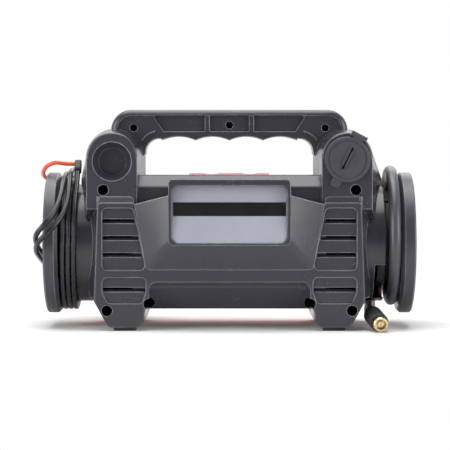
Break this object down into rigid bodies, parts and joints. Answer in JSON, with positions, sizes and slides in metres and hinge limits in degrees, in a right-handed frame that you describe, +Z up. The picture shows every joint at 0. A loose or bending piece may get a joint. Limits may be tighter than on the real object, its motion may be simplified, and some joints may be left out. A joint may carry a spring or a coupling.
{
  "type": "jump starter pack",
  "caption": "Portable jump starter with a tyre compressor, end drums for its leads and air hose, a carrying handle, a capped power socket and clamps parked at the front.",
  "frame": {"origin": "on the floor, under the middle of the case", "axes": "+X right as seen from the back, towards the hose drum; +Y towards the front controls; +Z up"},
  "size_m": [0.3624, 0.2096, 0.2085],
  "materials": {
    "case_grey": "fine satin grain",
    "case_red": "fine satin grain",
    "panel_grey": "fine grain",
    "strip_black": "smooth film",
    "grip_red": "soft matt",
    "rubber_black": "matt",
    "screw_steel": "dark zinc",
    "nickel": "bright",
    "brass": "turned",
    "insulator": "smooth",
    "battery_block": "smooth",
    "strap_steel": "zinc",
    "motor_steel": "drawn",
    "gear_nylon": "moulded",
    "cylinder_alloy": "cast",
    "control_black": "fine grain",
    "knob_red": "satin",
    "dial_white": "printed",
    "needle_red": "satin",
    "clear": "clear",
    "light_green": "clear tint",
    "board_green": "soldered",
    "reflector": "bright",
    "clamp_red": "moulded",
    "clamp_black": "moulded",
    "lead_black": "satin",
    "lead_orange": "satin"
  },
  "bodies": {
    "case": {"back_shell": "case_grey", "back_panel": "panel_grey", "blank_label": "strip_black", "front_shell": "case_red", "case_screws": "screw_steel", "rubber_feet": "rubber_black", "handle_grip": "grip_red", "socket_barrel": "nickel", "socket_insulator": "insulator", "socket_contact": "nickel", "cap_pin": "rubber_black", "spool_cores": "control_black", "right_flange": "case_grey", "left_flange": "case_grey", "flange_screws": "screw_steel", "battery": "battery_block", "battery_strap": "strap_steel", "motor_can": "motor_steel", "connecting_rod": "cylinder_alloy", "piston": "cylinder_alloy", "pump_cylinder": "cylinder_alloy", "cylinder_head": "cylinder_alloy", "pump_frame": "strap_steel", "control_fascia": "control_black", "main_switch": "insulator", "gauge_body": "dial_white", "clear_lenses": "clear", "rocker_frame": "control_black", "charge_lights": "light_green", "charge_ports": "control_black", "circuit_boards": "board_green", "lamp_reflectors": "reflector", "parking_bar": "control_black", "red_clamp_frame": "clamp_red", "black_clamp_frame": "clamp_black", "clamp_pins": "screw_steel", "clamp_springs": "screw_steel", "lead_winding_core": "lead_black", "lead_winding": "lead_black", "fuse_holder": "insulator", "positive_lead": "lead_orange", "negative_lead": "lead_black", "air_hose": "rubber_black", "cord_glands": "rubber_black", "chuck_sleeve": "rubber_black", "chuck_pin": "brass", "air_pipe": "rubber_black", "battery_wires": "lead_black"},
    "cap": {"socket_cap": "rubber_black"},
    "knob": {"main_knob": "knob_red"},
    "rocker": {"compressor_rocker": "knob_red"},
    "light_switch": {"light_button": "rubber_black"},
    "test_switch": {"test_button": "rubber_black"},
    "needle": {"gauge_needle": "needle_red"},
    "motor_rotor": {"motor_shaft": "motor_steel", "motor_fan": "gear_nylon"},
    "crank": {"crank_gear": "gear_nylon"},
    "red_jaw": {"red_clamp_jaw": "clamp_red"},
    "black_jaw": {"black_clamp_jaw": "clamp_black"},
    "chuck": {"chuck_collar": "brass"}
  },
  "joints": [
    {"name": "cap_hinge", "type": "hinge", "parent": "case", "child": "cap", "pos_m": [0.1209, -0.0699, 0.18168], "axis": [-0.891, 0, 0.454], "range_deg": [0, 110]},
    {"name": "knob_turn", "type": "hinge", "parent": "case", "child": "knob", "pos_m": [-0.036, 0.065, 0.098], "axis": [0, 1, 0], "range_deg": [0, 90]},
    {"name": "rocker_tilt", "type": "hinge", "parent": "case", "child": "rocker", "pos_m": [0.034, 0.061, 0.06], "axis": [1, 0, 0], "range_deg": [0, 16]},
    {"name": "light_button_press", "type": "slide", "parent": "case", "child": "light_switch", "axis": [0, -1, 0], "range_m": [0, 0.0018], "stiffness_N_per_m": 250, "springref_m": -0.001},
    {"name": "test_button_press", "type": "slide", "parent": "case", "child": "test_switch", "axis": [0, -1, 0], "range_m": [0, 0.0018], "stiffness_N_per_m": 250, "springref_m": -0.001},
    {"name": "needle_swing", "type": "hinge", "parent": "case", "child": "needle", "pos_m": [0.03, 0.06, 0.102], "axis": [0, -1, 0], "range_deg": [0, 270], "stiffness_Nm_per_rad": 0.0004, "springref_deg": -11.46},
    {"name": "crank_spin", "type": "hinge", "parent": "case", "child": "crank", "pos_m": [0.083, -0.004, 0.072], "axis": [1, 0, 0], "continuous": true},
    {"name": "motor_spin", "type": "hinge", "parent": "case", "child": "motor_rotor", "pos_m": [0.11, -0.004, 0.047], "axis": [1, 0, 0], "continuous": true},
    {"name": "red_clamp_open", "type": "hinge", "parent": "case", "child": "red_jaw", "pos_m": [-0.1105, 0.082, 0.089], "axis": [-1, 0, 0], "range_deg": [0, 18], "stiffness_Nm_per_rad": 0.4, "springref_deg": -17.19},
    {"name": "black_clamp_open", "type": "hinge", "parent": "case", "child": "black_jaw", "pos_m": [-0.0895, 0.082, 0.089], "axis": [-1, 0, 0], "range_deg": [0, 18], "stiffness_Nm_per_rad": 0.4, "springref_deg": -17.19},
    {"name": "chuck_turn", "type": "hinge", "parent": "case", "child": "chuck", "pos_m": [0.1396, -0.095, 0.00795], "axis": [0.054, -0.9953, -0.08], "continuous": true}
  ],
  "couplings": [
    {"joint": "motor_spin", "follows": "crank_spin", "ratio": -4}
  ]
}
